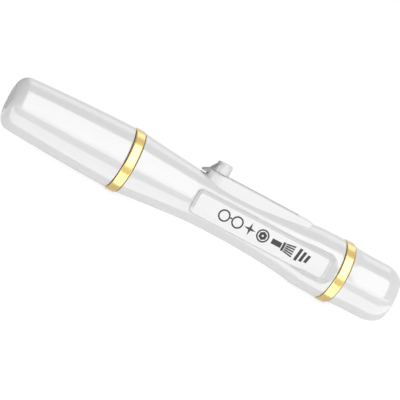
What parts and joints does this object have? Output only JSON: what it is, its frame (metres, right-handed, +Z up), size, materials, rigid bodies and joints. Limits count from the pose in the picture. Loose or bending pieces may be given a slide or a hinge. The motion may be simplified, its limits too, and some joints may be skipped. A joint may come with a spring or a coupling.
{
  "type": "lens cleaning pen",
  "caption": "Pocket pen for cleaning lenses: a capped carbon tip on a flexible neck at one end and a thumb-slide retractable hair brush at the other.",
  "frame": {"origin": "middle of the closed pen's length, under the axis, on the plane that its two bands rest on", "axes": "+X along the pen from the cap end to the brush end, +Z up through the thumb slider, -Y out of the label plate"},
  "size_m": [0.117, 0.018, 0.0207],
  "materials": {
    "white_shell": "glossy moulded white, slightly soft edges",
    "white_inner": "satin moulded white",
    "grey_liner": "satin light grey moulding",
    "label": "glossy white plate with a plain printed pictogram in near-black",
    "button_plastic": "satin pale grey-white with moulded thumb ribs",
    "gold_band": "polished gold-coloured plating",
    "black_plastic": "fine moulded matte black",
    "carbon_felt": "felt loaded with fine carbon powder",
    "chamois": "soft napped skin darkened by carbon",
    "foam": "soft closed-cell foam",
    "neck_rubber": "smooth flexible rubber",
    "steel": "bright spring steel",
    "ferrule": "rolled aluminium tube with two crimp rings",
    "hair": "fine dark natural hair"
  },
  "bodies": {
    "barrel": {"barrel_shell": "white_shell", "label_plate": "label", "cap_end_band": "gold_band", "brush_end_band": "gold_band", "nozzle_sleeve": "white_shell", "tip_holder": "white_inner"},
    "cap_sleeve": {"cap_liner": "grey_liner"},
    "cap": {"cap_shell": "white_shell", "cap_end_disc": "white_shell", "carbon_cup": "black_plastic", "carbon_pad": "carbon_felt"},
    "tip": {"tip_neck": "neck_rubber", "tip_head": "black_plastic", "tip_cushion": "foam", "tip_chamois": "chamois"},
    "brush_slide": {"thumb_button": "button_plastic", "brush_carrier": "black_plastic", "carrier_pin": "steel", "detent_spring": "steel", "brush_ferrule": "ferrule", "brush_tuft": "hair"}
  },
  "joints": [
    {"name": "cap_pull", "type": "slide", "parent": "barrel", "child": "cap_sleeve", "axis": [-1, 0, 0], "range_m": [0, 0.045]},
    {"name": "cap_turn", "type": "hinge", "parent": "cap_sleeve", "child": "cap", "pos_m": [-0.0385, 0, 0.00889], "axis": [1, 0, 0], "continuous": true},
    {"name": "tip_flex", "type": "hinge", "parent": "barrel", "child": "tip", "pos_m": [-0.0365, 0, 0.00889], "axis": [0, 1, 0], "range_deg": [-4, 4], "stiffness_Nm_per_rad": 0.02},
    {"name": "brush_push", "type": "slide", "parent": "barrel", "child": "brush_slide", "axis": [1, 0, 0], "range_m": [0, 0.02]}
  ]
}
